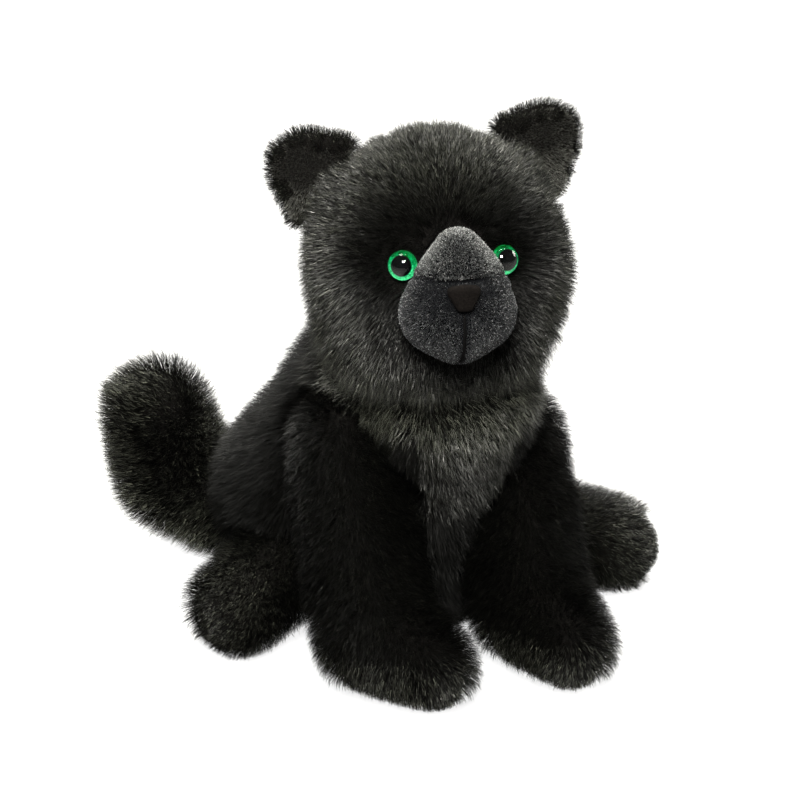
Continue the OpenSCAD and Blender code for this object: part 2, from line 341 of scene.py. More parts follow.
class Pile:
    """How the fibres of one fabric stand: lengths in metres, and the leans of the shank and the
    tip in degrees from upright. Spread turns single fibres, clump turns the fibres of a cell
    together, droop bends all of them down, and stray is the share that stands up and is longer."""

    def __init__(self, length, per_mm2, width=0.17 * MM, lean=(20, 46), spread=0.2, clump=0.2,
                 clump_size=3 * MM, droop=0.12, stray=0.02):
        self.length = length
        self.per_mm2 = per_mm2
        self.width = width
        self.lean = [math.radians(angle) for angle in lean]
        self.spread = spread
        self.clump = clump
        self.clump_size = clump_size
        self.droop = droop
        self.stray = stray


# The dark shank's share of a fibre, and the paler tip, which carries the painted sheen and glints,
# has the rest
SHANK = 0.72
# Lengths of single fibres against the pile's, widths against its width, and their twist in radians
LENGTH_RANGE = (0.72, 1.08)
WIDTH_RANGE = (0.75, 1.25)
TWIST = 0.6
# A stray fibre's length and lean against the others'
STRAY_LENGTH = 1.2
STRAY_LEAN = 0.55
# Fibres clump in small cells, and again a little less in cells that are larger by this factor
LARGE_CLUMP = 2.7
# A fibre's root starts this far under the skin
ROOT_DEPTH = 0.3 * MM
# A fibre shorter than this share of the pile's length isn't grown
LEAST_LENGTH = 0.02


def grow(surface, pile, seed, comb=None, trim=None):
    """Fibres as arrays: three points each, with the skin's normal and a width. comb(roots, flow)
    bends the combing direction, and trim(roots) gives factors for the length, 0 for no fibre."""
    rng = np.random.default_rng(seed)
    roots, normals, flow = surface.sample(pile.per_mm2, rng)
    if comb:
        flow = comb(roots, flow)
    factor = trim(roots) if trim else np.ones(len(roots))
    kept = factor > LEAST_LENGTH
    roots, normals, flow, factor = roots[kept], normals[kept], flow[kept], factor[kept]
    count = len(roots)
    tangent = unit(flow - normals * (flow * normals).sum(1, keepdims=True))
    side = np.cross(normals, tangent)
    jitter = rng.normal(0, pile.spread, (count, 2))
    clump = cell_noise(roots, pile.clump_size, seed) * pile.clump
    clump += cell_noise(roots, pile.clump_size * LARGE_CLUMP, seed + 7) * pile.clump * 0.8
    is_stray = rng.random(count) < pile.stray
    length = pile.length * factor * rng.uniform(*LENGTH_RANGE, count)
    length = length * np.where(is_stray, STRAY_LENGTH, 1)
    loose = np.where(is_stray, STRAY_LEAN, 1.0)

    def direction(lean, wobble):
        """Which way a stretch of each fibre points. The tip wobbles more than the shank."""
        angle = lean + clump[:, 2] * 0.5 + jitter[:, 0]
        along = tangent + side * (clump[:, 0] * 1.3 + jitter[:, 1] * wobble)[:, None]
        ahead = normals * np.cos(angle)[:, None] + unit(along) * np.sin(angle)[:, None]
        return unit(ahead + DOWN * pile.droop * wobble)

    middle = roots + direction(pile.lean[0] * loose, 0.8) * (length * SHANK)[:, None]
    tips = middle + direction(pile.lean[1] * loose, 1.6) * (length * (1 - SHANK))[:, None]
    points = np.stack([roots - normals * ROOT_DEPTH, middle, tips], 1)
    points[:, :, 2] = np.maximum(points[:, :, 2], GROUND_CLEARANCE)
    width = pile.width * rng.uniform(*WIDTH_RANGE, count)
    return {"points": points, "normals": normals, "width": width, "roots": roots,
            "tone": rng.random(count), "twist": rng.normal(0, TWIST, count)}


def choose(fibres, mask):
    """The fibres that the mask picks."""
    return {key: values[mask] for key, values in fibres.items()}


def brighten(fibres, amount):
    """Gives more of the fibres a pale tip: 0 changes nothing, and 1 makes every tip the palest."""
    fibres["tone"] = 1 - (1 - fibres["tone"]) * (1 - amount)


def fray(fibres, spread):
    """A random offset for each fibre, so that two tones meet without a hard line. It is the
    fibre's twist about its own length, scaled, and so it needs no random number of its own."""
    return fibres["twist"] * spread


# A blade's two faces by their corners: the shank has four and the tip has three
SHANK_CORNERS = [0, 1, 3, 2]
TIP_CORNERS = [2, 3, 4]
# Width of a blade where the tip starts, against its foot
TAPER = 0.85


def pile_mesh(name, fibres, tones):
    """A mesh of flat tapered blades, each a four-sided shank and a pointed tip."""
    points, normals = fibres["points"], fibres["normals"]
    count = len(points)
    along = unit(np.stack([points[:, 1] - points[:, 0], points[:, 2] - points[:, 0],
                           points[:, 2] - points[:, 1]], 1))
    up = normals[:, None, :] - along * (normals[:, None, :] * along).sum(2, keepdims=True)
    up = unit(up)
    across = np.cross(along, up)
    twist = fibres["twist"][:, None, None]
    across = across * np.cos(twist) + up * np.sin(twist)
    facing = unit(np.cross(across, along) * 0.35 + up)
    half = fibres["width"][:, None, None] / 2
    blade = np.empty((count, 5, 3))
    blade[:, 0] = points[:, 0] - across[:, 0] * half[:, 0]
    blade[:, 1] = points[:, 0] + across[:, 0] * half[:, 0]
    blade[:, 2] = points[:, 1] - across[:, 1] * half[:, 0] * TAPER
    blade[:, 3] = points[:, 1] + across[:, 1] * half[:, 0] * TAPER
    blade[:, 4] = points[:, 2]
    corner = np.array(SHANK_CORNERS + TIP_CORNERS)
    loops = (np.arange(count)[:, None] * 5 + corner).ravel()
    face_starts = np.array([0, len(SHANK_CORNERS)])
    starts = (np.arange(count)[:, None] * len(corner) + face_starts).ravel()
    mesh = bpy.data.meshes.new(name)
    mesh.vertices.add(count * 5)
    mesh.loops.add(count * len(corner))
    mesh.polygons.add(count * 2)
    mesh.vertices.foreach_set("co", blade.astype(np.float32).ravel())
    mesh.loops.foreach_set("vertex_index", loops.astype(np.int32))
    mesh.polygons.foreach_set("loop_start", starts.astype(np.int32))
    for tone, _ in tones:
        mesh.materials.append(tone)
    limits = np.cumsum([share for _, share in tones[1:]])
    tip = 1 + np.searchsorted(limits / limits[-1], fibres["tone"]).clip(0, len(tones) - 2)
    tone_index = np.stack([np.zeros_like(tip), tip], 1)
    mesh.polygons.foreach_set("material_index", tone_index.astype(np.int32).ravel())
    mesh.polygons.foreach_set("use_smooth", [True] * (count * 2))
    mesh.update(calc_edges=True)
    shading = facing[:, [0, 0, 1, 1, 2]].reshape(-1, 3)
    attribute = mesh.attributes.new("custom_normal", "FLOAT_VECTOR", "POINT")
    attribute.data.foreach_set("vector", shading.astype(np.float32).ravel())
    return add_object(name, mesh)


# ---------------------------------------------------------------- materials


def new_material(name, color, roughness, **sockets):
    """A plain material. A socket's name is written with _ for each space."""
    material = bpy.data.materials.new(name)
    material.use_nodes = True
    shader = material.node_tree.nodes["Principled BSDF"]
    shader.inputs["Base Color"].default_value = (*color, 1)
    shader.inputs["Roughness"].default_value = roughness
    for socket, value in sockets.items():
        shader.inputs[socket.replace("_", " ")].default_value = value
    return material


def fibre_tones(name, tones):
    """The root's material and then the tips' materials of a fabric, each with its share."""
    return [
        (new_material(f"{name}_{index}", color, roughness, Specular_IOR_Level=gloss), share)
        for index, (color, roughness, gloss, share) in enumerate(tones)
    ]


def add_node(material, kind, **sockets):
    node = material.node_tree.nodes.new(kind)
    for socket, value in sockets.items():
        node.inputs[socket.replace("_", " ")].default_value = value
    return node


def object_place(material):
    return add_node(material, "ShaderNodeTexCoord").outputs["Object"]


def add_grain(material, colors, scale, bump=0.0, texture="ShaderNodeTexNoise", roughness=None):
    """Mottles a material between two colours at a fine scale, and roughens it by bump metres."""
    links = material.node_tree.links
    shader = material.node_tree.nodes["Principled BSDF"]
    grain = add_node(material, texture, Scale=scale)
    links.new(object_place(material), grain.inputs["Vector"])
    value = grain.outputs["Distance" if texture == "ShaderNodeTexVoronoi" else "Fac"]
    shades = add_node(material, "ShaderNodeValToRGB")
    shades.color_ramp.elements[0].position = 0.3
    shades.color_ramp.elements[1].position = 0.7
    for element, color in zip(shades.color_ramp.elements, colors):
        element.color = (*color, 1)
    links.new(value, shades.inputs["Fac"])
    links.new(shades.outputs["Color"], shader.inputs["Base Color"])
    if bump:
        relief = add_node(material, "ShaderNodeBump", Strength=0.7, Distance=bump)
        links.new(value, relief.inputs["Height"])
        links.new(relief.outputs["Normal"], shader.inputs["Normal"])
    if roughness:
        spread = add_node(material, "ShaderNodeMapRange", To_Min=roughness[0], To_Max=roughness[1])
        links.new(value, spread.inputs["Value"])
        links.new(spread.outputs["Result"], shader.inputs["Roughness"])
    return material


def grained(name, dark, light, scale, roughness, bump=0.0, **options):
    """A material mottled between a dark and a light colour."""
    return add_grain(new_material(name, light, roughness), (dark, light), scale, bump, **options)


# A tone is a colour, a roughness, a gloss and a share of the tips. The first is every shank's.
ROOT_TONE = ((0.0012, 0.0012, 0.001), 0.6, 0.1, 1)
WARM = (0.98, 1.02, 0.80)


def black_tones(name, lightness, gloss=0.4):
    """Black pile: deep black shanks, and warm grey tips from nearly black to a few glints. The grey
    of the tips is painted sheen and the palest tips are painted glints; lightness scales them.
    """
    warm = np.array(WARM) * lightness
    return fibre_tones(name, [
        ROOT_TONE,
        (warm * 0.004, 0.5, 0.5 * gloss, 0.36),
        (warm * 0.014, 0.45, gloss, 0.38),
        (warm * 0.036, 0.4, gloss, 0.22),
        (warm * 0.12, 0.34, 2 * gloss, 0.04),
    ])


# Lit and shaded copies of one black pile: each set's lightness is painted light or shade. The tail,
# the ears, the paws, the head and the chest are paler, painted light where the light falls on them,
# and the body and the legs are darker, painted shade.
HEAD_TONES = black_tones("head_pile", 1.0)
CHEST_TONES = black_tones("chest_pile", 0.95)
BODY_TONES = black_tones("body_pile", 0.16, 0.08)
FRONT_LEG_TONES = black_tones("front_leg_pile", 0.14, 0.12)
HIND_LEG_TONES = black_tones("hind_leg_pile", 0.5, 0.12)
TAIL_TONES = black_tones("tail_pile", 2.6)
EAR_TONES = black_tones("ear_pile", 1.8)
PAW_TONES = black_tones("paw_pile", 1.3, 0.3)
# The bridge's velour is a paler copy of the muzzle's, with many white tips: painted light and
# painted glints where the light from above falls on the bridge.
BRIDGE_TONES = fibre_tones("bridge_velour", [
    ((0.075, 0.078, 0.078), 0.6, 0.3, 1),
    ((0.03, 0.031, 0.032), 0.55, 0.4, 0.28),
    ((0.2, 0.206, 0.206), 0.5, 0.5, 0.48),
    ((0.85, 0.86, 0.85), 0.3, 1.0, 0.24),
])
# The palest tips of the muzzle's velour are painted glints.
VELOUR_TONES = fibre_tones("velour", [
    ((0.009, 0.0095, 0.011), 0.6, 0.3, 1),
    ((0.012, 0.013, 0.0155), 0.55, 0.4, 0.48),
    ((0.026, 0.028, 0.032), 0.5, 0.5, 0.42),
    ((0.42, 0.43, 0.44), 0.3, 1.0, 0.10),
])
LINING_TONES = fibre_tones("lining", [
    ((0.045, 0.045, 0.04), 0.6, 0.3, 1),
    ((0.055, 0.055, 0.05), 0.55, 0.5, 0.5),
    ((0.13, 0.13, 0.117), 0.5, 0.5, 0.42),
    ((0.36, 0.36, 0.31), 0.4, 0.8, 0.08),
])
BACKING = grained("backing", (0.003, 0.0027, 0.0025), (0.008, 0.0075, 0.007), 900, 0.9)
# The velour's backing is near black, darker than the body's; where the pile is taken off, in the
# crease over the nose, it stands for painted shade.
FACE_BACKING = grained("face_backing", (0.0015, 0.0016, 0.002), (0.005, 0.0055, 0.0065), 1500, 0.9)
FILL = grained("polyester_fill", (0.70, 0.69, 0.66), (0.88, 0.87, 0.84), 400, 0.85, 0.5 * MM)
POUCH = grained("pouch_cloth", (0.52, 0.48, 0.41), (0.66, 0.62, 0.54), 1400, 0.8, 0.1 * MM)
PELLETS = grained("plastic_pellets", (0.62, 0.62, 0.60), (0.85, 0.85, 0.83), 450, 0.4, 0.8 * MM,
                  texture="ShaderNodeTexVoronoi")
WASHER = grained("washer_plastic", (0.72, 0.72, 0.70), (0.80, 0.80, 0.78), 700, 0.35, 0.03 * MM)
SUEDE = grained("nose_suede", (0.0015, 0.0012, 0.0011), (0.007, 0.0058, 0.0052), 1900, 0.85,
                0.2 * MM)
THREAD = grained("seam_thread", (0.001, 0.001, 0.001), (0.004, 0.004, 0.004), 2600, 0.8, 0.1 * MM)
PUPIL = grained("eye_black", (0.001, 0.0014, 0.0015), (0.002, 0.0026, 0.0028), 300, 0.5)
for dull in (BACKING, FACE_BACKING, SUEDE, THREAD, PUPIL):
    dull.node_tree.nodes["Principled BSDF"].inputs["Specular IOR Level"].default_value = 0.03


def make_iris_material():
    """Green glitter under clear plastic: bright at the foot of the ring, where the dome gathers
    the light from above, and deep at its top. A weak glow of its own stands for that light."""
    material = new_material("eye_glitter_green", (0.0, 0.3, 0.08), 0.35)
    tree, links = material.node_tree, material.node_tree.links
    shader = tree.nodes["Principled BSDF"]
    flakes = add_node(material, "ShaderNodeTexVoronoi", Scale=2600)
    place = object_place(material)
    links.new(place, flakes.inputs["Vector"])
    height = add_node(material, "ShaderNodeSeparateXYZ")
    links.new(place, height.inputs["Vector"])
    middle = corner_mean("eye_left_iris").z
    half = 5.5 * MM
    rise = add_node(material, "ShaderNodeMapRange", From_Min=middle + half,
                    From_Max=middle - half, To_Min=0.04, To_Max=0.9)
    links.new(height.outputs["Z"], rise.inputs["Value"])
    flake_value = add_node(material, "ShaderNodeSeparateColor")
    links.new(flakes.outputs["Color"], flake_value.inputs["Color"])
    sparkle = add_node(material, "ShaderNodeMapRange", To_Min=-0.25, To_Max=0.25)
    links.new(flake_value.outputs["Red"], sparkle.inputs["Value"])
    both = add_node(material, "ShaderNodeMath")
    links.new(rise.outputs["Result"], both.inputs[0])
    links.new(sparkle.outputs["Result"], both.inputs[1])
    shades = add_node(material, "ShaderNodeValToRGB")
    shades.color_ramp.elements[0].color = (0.0, 0.04, 0.0, 1)
    shades.color_ramp.elements[1].color = (0.10, 0.85, 0.36, 1)
    shades.color_ramp.elements.new(0.5).color = (0.0, 0.28, 0.08, 1)
    links.new(both.outputs["Value"], shades.inputs["Fac"])
    links.new(shades.outputs["Color"], shader.inputs["Base Color"])
    links.new(shades.outputs["Color"], shader.inputs["Emission Color"])
    shader.inputs["Emission Strength"].default_value = 0.6
    shader.inputs["Specular IOR Level"].default_value = 0.1
    return material


IRIS = make_iris_material()
CLEAR = new_material("eye_clear", (1, 1, 1), 0.0, Transmission_Weight=1.0, IOR=1.45)


# ---------------------------------------------------------------- the cat's pile fabrics

HEAD_PILE = Pile(12 * MM, 4.0, width=0.15 * MM)
BODY_PILE = Pile(12 * MM, 3.0, width=0.16 * MM, lean=(22, 50))
LEG_PILE = Pile(10.5 * MM, 3.4, width=0.16 * MM, lean=(22, 50), clump=0.14)
TAIL_PILE = Pile(14 * MM, 3.0, width=0.16 * MM, lean=(20, 44), droop=0.06)
NECK_PILE = Pile(12 * MM, 2.0, lean=(10, 30))
EAR_PILE = Pile(5.5 * MM, 6, width=0.14 * MM, lean=(30, 60), clump=0.12, clump_size=2 * MM,
                stray=0)
LINING_PILE = Pile(1.8 * MM, 7, width=0.14 * MM, lean=(20, 45), clump=0.1, droop=0)
VELOUR_PILE = Pile(1.4 * MM, 12, width=0.15 * MM, lean=(8, 30), clump=0.3, clump_size=1.5 * MM,
                   droop=0, spread=0.4)
# The muzzle as an ellipsoid, seen from the middle of the head
MUZZLE_MIDDLE = np.array((0, -47, -6)) * MM
MUZZLE_REACH = np.array((21.5, 30, 23.5)) * MM
# A skin is this much lower at the ground, where its weight presses it down, less further up, and
# not at all above the second height
FLOOR_PRESS = 2.4 * MM
FLOOR_PRESS_BELOW = 12 * MM


def finish_piece(obj, body):
    """Fixes a piece to its body."""
    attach(obj, body)


def make_skin(name, nodes, body, fill, slot="black_pile", material=BACKING, inside=(), **options):
    """A skin in place of some CAD panels. The solids inside only tell it where it isn't hollow."""
    obj = soft_skin(name, [*nodes, *inside], **options)
    points = get_points(obj.data)
    points[:, 2] -= FLOOR_PRESS * (1 - ramp(points[:, 2], SKIN_DEPTH, FLOOR_PRESS_BELOW))
    points[:, 2] = np.maximum(points[:, 2], GROUND_CLEARANCE)
    set_points(obj.data, points)
    obj.data.materials.append(material)
    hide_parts(*nodes)
    finish_piece(obj, body)
    return obj


def make_pile(name, fibres, body, tones):
    """A piece of pile, which rides on the same body as its skin."""
    finish_piece(pile_mesh(name, fibres, tones), body)


def make_filling(node, body, material=FILL, depth=SKIN_DEPTH,
                 voxel=3 * MM):
    """What is inside a skin: a wad of stuffing or a cloth pouch, with a lumpy surface."""
    obj = soft_skin(f"{node}_soft", [node], voxel=voxel, depth=depth, puff=0, lumps=1 * MM)
    obj.data.materials.append(material)
    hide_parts(node)
    finish_piece(obj, body)


def in_head(points):
    """Points seen from the middle of the head, which looks along -Y."""
    return (points - np.array(HEAD)) @ np.array(HEAD_TURN)


def seam_dip(distance, reach=2.2 * MM, least=0.55):
    """Pile is shorter where a seam pulls its roots under."""
    return least + (1 - least) * ramp(np.abs(distance), 0.3 * MM, reach)


GUSSET_HALF = 15 * MM
EYE_CLEARING = 7 * MM


def muzzle_nearness(local):
    """1 on the muzzle's ellipsoid, more outside it."""
    return np.linalg.norm((local - MUZZLE_MIDDLE) / MUZZLE_REACH, axis=1)


def trim_head(roots):
    """Pile is longer on the cheeks, on the chin and in front of the ears, and short or gone round
    the eyes, the muzzle and the seams."""
    local = in_head(roots)
    beside = ramp(np.abs(local[:, 0]), 15 * MM, 42 * MM)
    factor = 0.95 + 0.3 * beside * ramp(-local[:, 2], -25 * MM, 0)
    factor += 0.8 * ramp(-local[:, 2], 18 * MM, 36 * MM)
    factor *= seam_dip(np.abs(local[:, 0]) - GUSSET_HALF, least=0.8)
    for side in SIDES:
        away = np.linalg.norm(roots - np.array(corner_mean(f"eye_{side}_iris")), axis=1)
        factor *= 0.22 + 0.78 * ramp(away, EYE_CLEARING, 17 * MM)
        factor[away < EYE_CLEARING] = 0
    near = muzzle_nearness(local)
    factor *= 0.3 + 0.7 * ramp(near, 0.95, 1.45)
    factor[near < 0.93] = 0
    for side in SIDES:
        root = in_head(np.array([joint_place(f"ear_{side}_fold")]))[0] - (0, 8 * MM, 0)
        factor *= 1.45 - 0.45 * ramp(np.linalg.norm(local - root, axis=1), 9 * MM, 19 * MM)
    return factor


def paint_light_and_shade_on_face(fibres):
    """Painted shade and light on the face: tips are darker round the eye sockets and the muzzle,
    where the pile is also short, and paler on the crown and under the chin."""
    local = in_head(fibres["roots"])
    bright = 0.45 + 0.55 * ramp(muzzle_nearness(local), 1.0, 1.7)
    for side in SIDES:
        socket = in_head(np.array([corner_mean(f"eye_{side}_iris")]))[0] + (0, 0, 4 * MM)
        bright *= 0.35 + 0.65 * ramp(np.linalg.norm(local - socket, axis=1), 12 * MM, 26 * MM)
    fibres["tone"] *= bright
    crown, chin = ramp(local[:, 2], 28 * MM, 42 * MM), ramp(-local[:, 2], 20 * MM, 32 * MM)
    brighten(fibres, 0.3 * np.maximum(crown, chin))


def comb_head(roots, flow):
    """Pile lies down the back of the head, the cheeks and the chin."""
    local = in_head(roots)
    behind = ramp(local[:, 1], -12 * MM, 28 * MM)[:, None]
    cheek = ramp(np.abs(local[:, 0]), 0, 45 * MM)[:, None] * 0.4
    chin = ramp(-local[:, 2], 20 * MM, 36 * MM)[:, None]
    return flow + DOWN * (behind * 0.6 + cheek + chin)


CHEST_BACK = 14 * MM
CHEST_FLARE = 0.37
COLLAR_HEIGHT = 112 * MM
COLLAR_FRONT = 22 * MM
BIB_FOOT = 78 * MM
BACK_FROM = 8 * MM


def chest_edge(roots):
    """How far a point lies inside the chest panel's edges."""
    return (-roots[:, 1] - CHEST_BACK) * CHEST_FLARE - np.abs(roots[:, 0])


def comb_torso(roots, flow):
    """Pile lies down the body, and on the chest it also lies towards the middle."""
    chest = ramp(chest_edge(roots), -4 * MM, 6 * MM)[:, None]
    inward = np.zeros_like(roots)
    inward[:, 0] = 0.5 - roots[:, 0] / (40 * MM)
    collar = ramp(roots[:, 2], 108 * MM, 124 * MM)[:, None]
    return flow * (1 - 0.5 * chest) + DOWN * (0.8 - 0.4 * collar) + inward * chest


def trim_torso(roots):
    """Pile is longer on the chest and the collar, and short at the seams and near the ground."""
    factor = 1 + 0.18 * ramp(chest_edge(roots), 0, 8 * MM)
    factor += 0.35 * ramp(roots[:, 2], 105 * MM, 125 * MM)
    factor *= seam_dip(chest_edge(roots), least=0.8)
    return factor * (0.35 + 0.65 * ramp(roots[:, 2], 4 * MM, 14 * MM))


def make_head():
    """The head's skin, and its pile in three pieces: over the crown and on each side."""
    panels = ["head_left_panel", "head_right_panel", "head_gusset"]
    skin = make_skin("head_skin", panels, "head", 0.9, inside=["head_stuffing"], seed=2)
    source = HEAD + HEAD_TURN @ Vector((0, -0.048, 0.004))
    fibres = grow(Surface(skin, source), HEAD_PILE, 11, comb_head, trim_head)
    paint_light_and_shade_on_face(fibres)
    local = in_head(fibres["roots"])
    crown = (np.abs(local[:, 0]) < GUSSET_HALF) & ((local[:, 2] > 10 * MM) | (local[:, 1] > 0))
    left = local[:, 0] > 0
    make_pile("head_gusset_pile", choose(fibres, crown), "head", HEAD_TONES)
    make_pile("head_left_pile", choose(fibres, ~crown & left), "head", HEAD_TONES)
    make_pile("head_right_pile", choose(fibres, ~crown & ~left), "head", HEAD_TONES)


def make_torso():
    """The torso's skin, and its pile: the bib, paler with painted light, the belly, darker with
    painted shade, and each side in two pieces.
    """
    panels = ["torso_left_panel", "torso_right_panel", "chest_panel", "seat_panel"]
    inside = ["torso_stuffing", "pellet_pouch", "seat_pellets"]
    skin = make_skin("torso_skin", panels, "torso", 0.8, inside=inside, seed=3)
    source = Vector((NECK.x, NECK.y, 0.15))
    fibres = grow(Surface(skin, source, 20 * MM), BODY_PILE, 12, comb_torso, trim_torso)
    roots = fibres["roots"]
    collar = (roots[:, 2] > COLLAR_HEIGHT) & (roots[:, 1] < -COLLAR_FRONT)
    chest = (chest_edge(roots) > 0) | collar
    # Painted light and shade on the torso's tips: paler at the top of the chest under the chin,
    # where the head's shadow falls, and darker everywhere else.
    high = ramp(roots[:, 2], 98 * MM, 115 * MM) * (roots[:, 1] < -10 * MM)
    fibres["tone"] *= 0.7 + 0.3 * high
    brighten(fibres, 0.75 * high)
    # Below the bib's foot the chest takes the body's darker set: painted shade low on the chest,
    # between the legs.
    bib = chest & (roots[:, 2] + fray(fibres, 6 * MM) > BIB_FOOT)
    make_pile("bib_pile", choose(fibres, bib), "torso", CHEST_TONES)
    make_pile("belly_pile", choose(fibres, chest & ~bib), "torso", BODY_TONES)
    left, back = roots[:, 0] > 0, roots[:, 1] > BACK_FROM
    for side, half in (("left", left), ("right", ~left)):
        for suffix, part in (("", ~back), ("_back", back)):
            make_pile(f"torso_{side}{suffix}_pile", choose(fibres, ~chest & half & part),
                      "torso", BODY_TONES)


def make_neck():
    skin = make_skin("neck_skin", ["neck_stuffing"], "neck", 0.8, depth=0.5 * MM, puff=0, lumps=0)
    fibres = grow(Surface(skin, NECK + Vector((0, 0, 0.02))), NECK_PILE, 14)
    # The neck takes the chest's paler set: painted light under the chin.
    make_pile("neck_pile", fibres, "neck", CHEST_TONES)


TOE_REACH = 22 * MM


def make_leg(body, tones, seed, sole_length, band=0.0):
    """A leg's skin, its sleeve pile, pile over the toes and short pile on its sole. The
    sole's pile also goes round the foot up to the height of the band. The toes and the sole take a
    paler copy of the black pile: painted light where the light from above falls on the toes, and
    where the white floor lights the band round the foot."""
    nodes = [f"{body}_skin", f"{body}_sole"]
    skin = make_skin(f"{body}_sleeve", nodes, body, 0.8, inside=[f"{body}_stuffing"], seed=seed)
    sleeve, sole = (node_tree([node]) for node in nodes)

    def trim(roots):
        inside = distance_to(sleeve, roots) - distance_to(sole, roots)
        factor = np.where(inside > 0, sole_length,
                          sole_length + (1 - sole_length) * ramp(-inside, 0, 5 * MM))
        factor *= seam_dip(inside, 1.2 * MM, 0.45)
        if not band:
            return factor * (0.45 + 0.55 * ramp(roots[:, 2], 3 * MM, 14 * MM))
        factor = np.where(roots[:, 2] < band, 0.42, factor)
        return factor * seam_dip(roots[:, 2] - band, 2.5 * MM, 0.3)

    fibres = grow(Surface(skin, joint_place(f"{body}_swing"), 12 * MM), LEG_PILE, seed, None, trim)
    roots = fibres["roots"]
    near = distance_to(sole, roots)
    under = (distance_to(sleeve, roots) > near) | (roots[:, 2] < band)
    toes = ~under & (near + np.abs(fray(fibres, 8 * MM)) < TOE_REACH)
    make_pile(f"{body}_pile", choose(fibres, ~under & ~toes), body, tones)
    # Toes and sole take the paler set: painted light.
    make_pile(f"{body}_toe_pile", choose(fibres, toes), body, PAW_TONES)
    make_pile(f"{body}_sole_pile", choose(fibres, under), body, PAW_TONES)


def make_limbs():
    for index, side in enumerate(SIDES):
        make_leg(f"front_leg_{side}", FRONT_LEG_TONES, 20 + index * 2, 0.6, 10 * MM)
        make_leg(f"hind_leg_{side}", HIND_LEG_TONES, 21 + index * 2, 1.1)
    skin = make_skin("tail_sleeve", ["tail_skin"], "tail", 0.8, inside=["tail_stuffing"], seed=30)
    fibres = grow(Surface(skin, joint_place("tail_swing"), 12 * MM), TAIL_PILE, 30)
    # Paler tips low on the tail: painted light on its lower part.
    brighten(fibres, 0.5 * ramp(-fibres["roots"][:, 2], -60 * MM, -20 * MM))
    make_pile("tail_pile", fibres, "tail", TAIL_TONES)


# The back's pile folds over the rim of an ear as far as this, and the lining starts there
EAR_FOLD = 2.8 * MM


def make_ears():
    """Each ear's skin, the long pile of its back and the short pile of its lining."""
    for index, side in enumerate(SIDES):
        name = f"ear_{side}"
        nodes = [f"{name}_back", f"{name}_lining"]
        skin = make_skin(f"{name}_skin", nodes, name, 0.4, depth=1.6 * MM, voxel=1.5 * MM,
                         puff=0, lumps=0, smooth=6)
        surface = Surface(skin, joint_place(f"{name}_fold"), 8 * MM)
        back, lining = node_tree(nodes[:1]), node_tree(nodes[1:])
        points = surface.points
        rim = points[distance_to(back, points) < distance_to(lining, points)]
        rim_tree = KDTree(len(rim))
        for at, point in enumerate(rim):
            rim_tree.insert(point, at)
        rim_tree.balance()

        def inset(roots):
            """How far a root lies in front of the rim: 0 on the whole back of the ear."""
            return np.array([rim_tree.find(root)[2] for root in roots])

        def trim(roots):
            """The pile is shorter where it folds over the rim."""
            return 1 - 0.45 * ramp(inset(roots), 0.5 * MM, 1.5 * MM)

        fibres = grow(surface, EAR_PILE, 40 + index, None, trim)
        outer = choose(fibres, inset(fibres["roots"]) < EAR_FOLD)
        make_pile(f"{name}_back_pile", outer, name, EAR_TONES)
        fibres = grow(surface, LINING_PILE, 44 + index)
        fibres = choose(fibres, inset(fibres["roots"]) >= EAR_FOLD)
        past_seam = inset(fibres["roots"]) - EAR_FOLD
        brighten(fibres, 0.7 * (1 - ramp(past_seam, 0.4 * MM, 1.2 * MM)))
        make_pile(f"{name}_lining_pile", fibres, name, LINING_TONES)


# ---------------------------------------------------------------- face


NOSE_TOP = 7 * MM
# The fold over the nose, between the bridge and the muzzle halves
FOLD_HEIGHT = NOSE_TOP + 1.6 * MM
FOLD_WIDTH = 1.4 * MM
FOLD_DEPTH = 3.2 * MM
BRIDGE_SWELL = 0.3
BRIDGE_SHIFT = 0.8 * MM


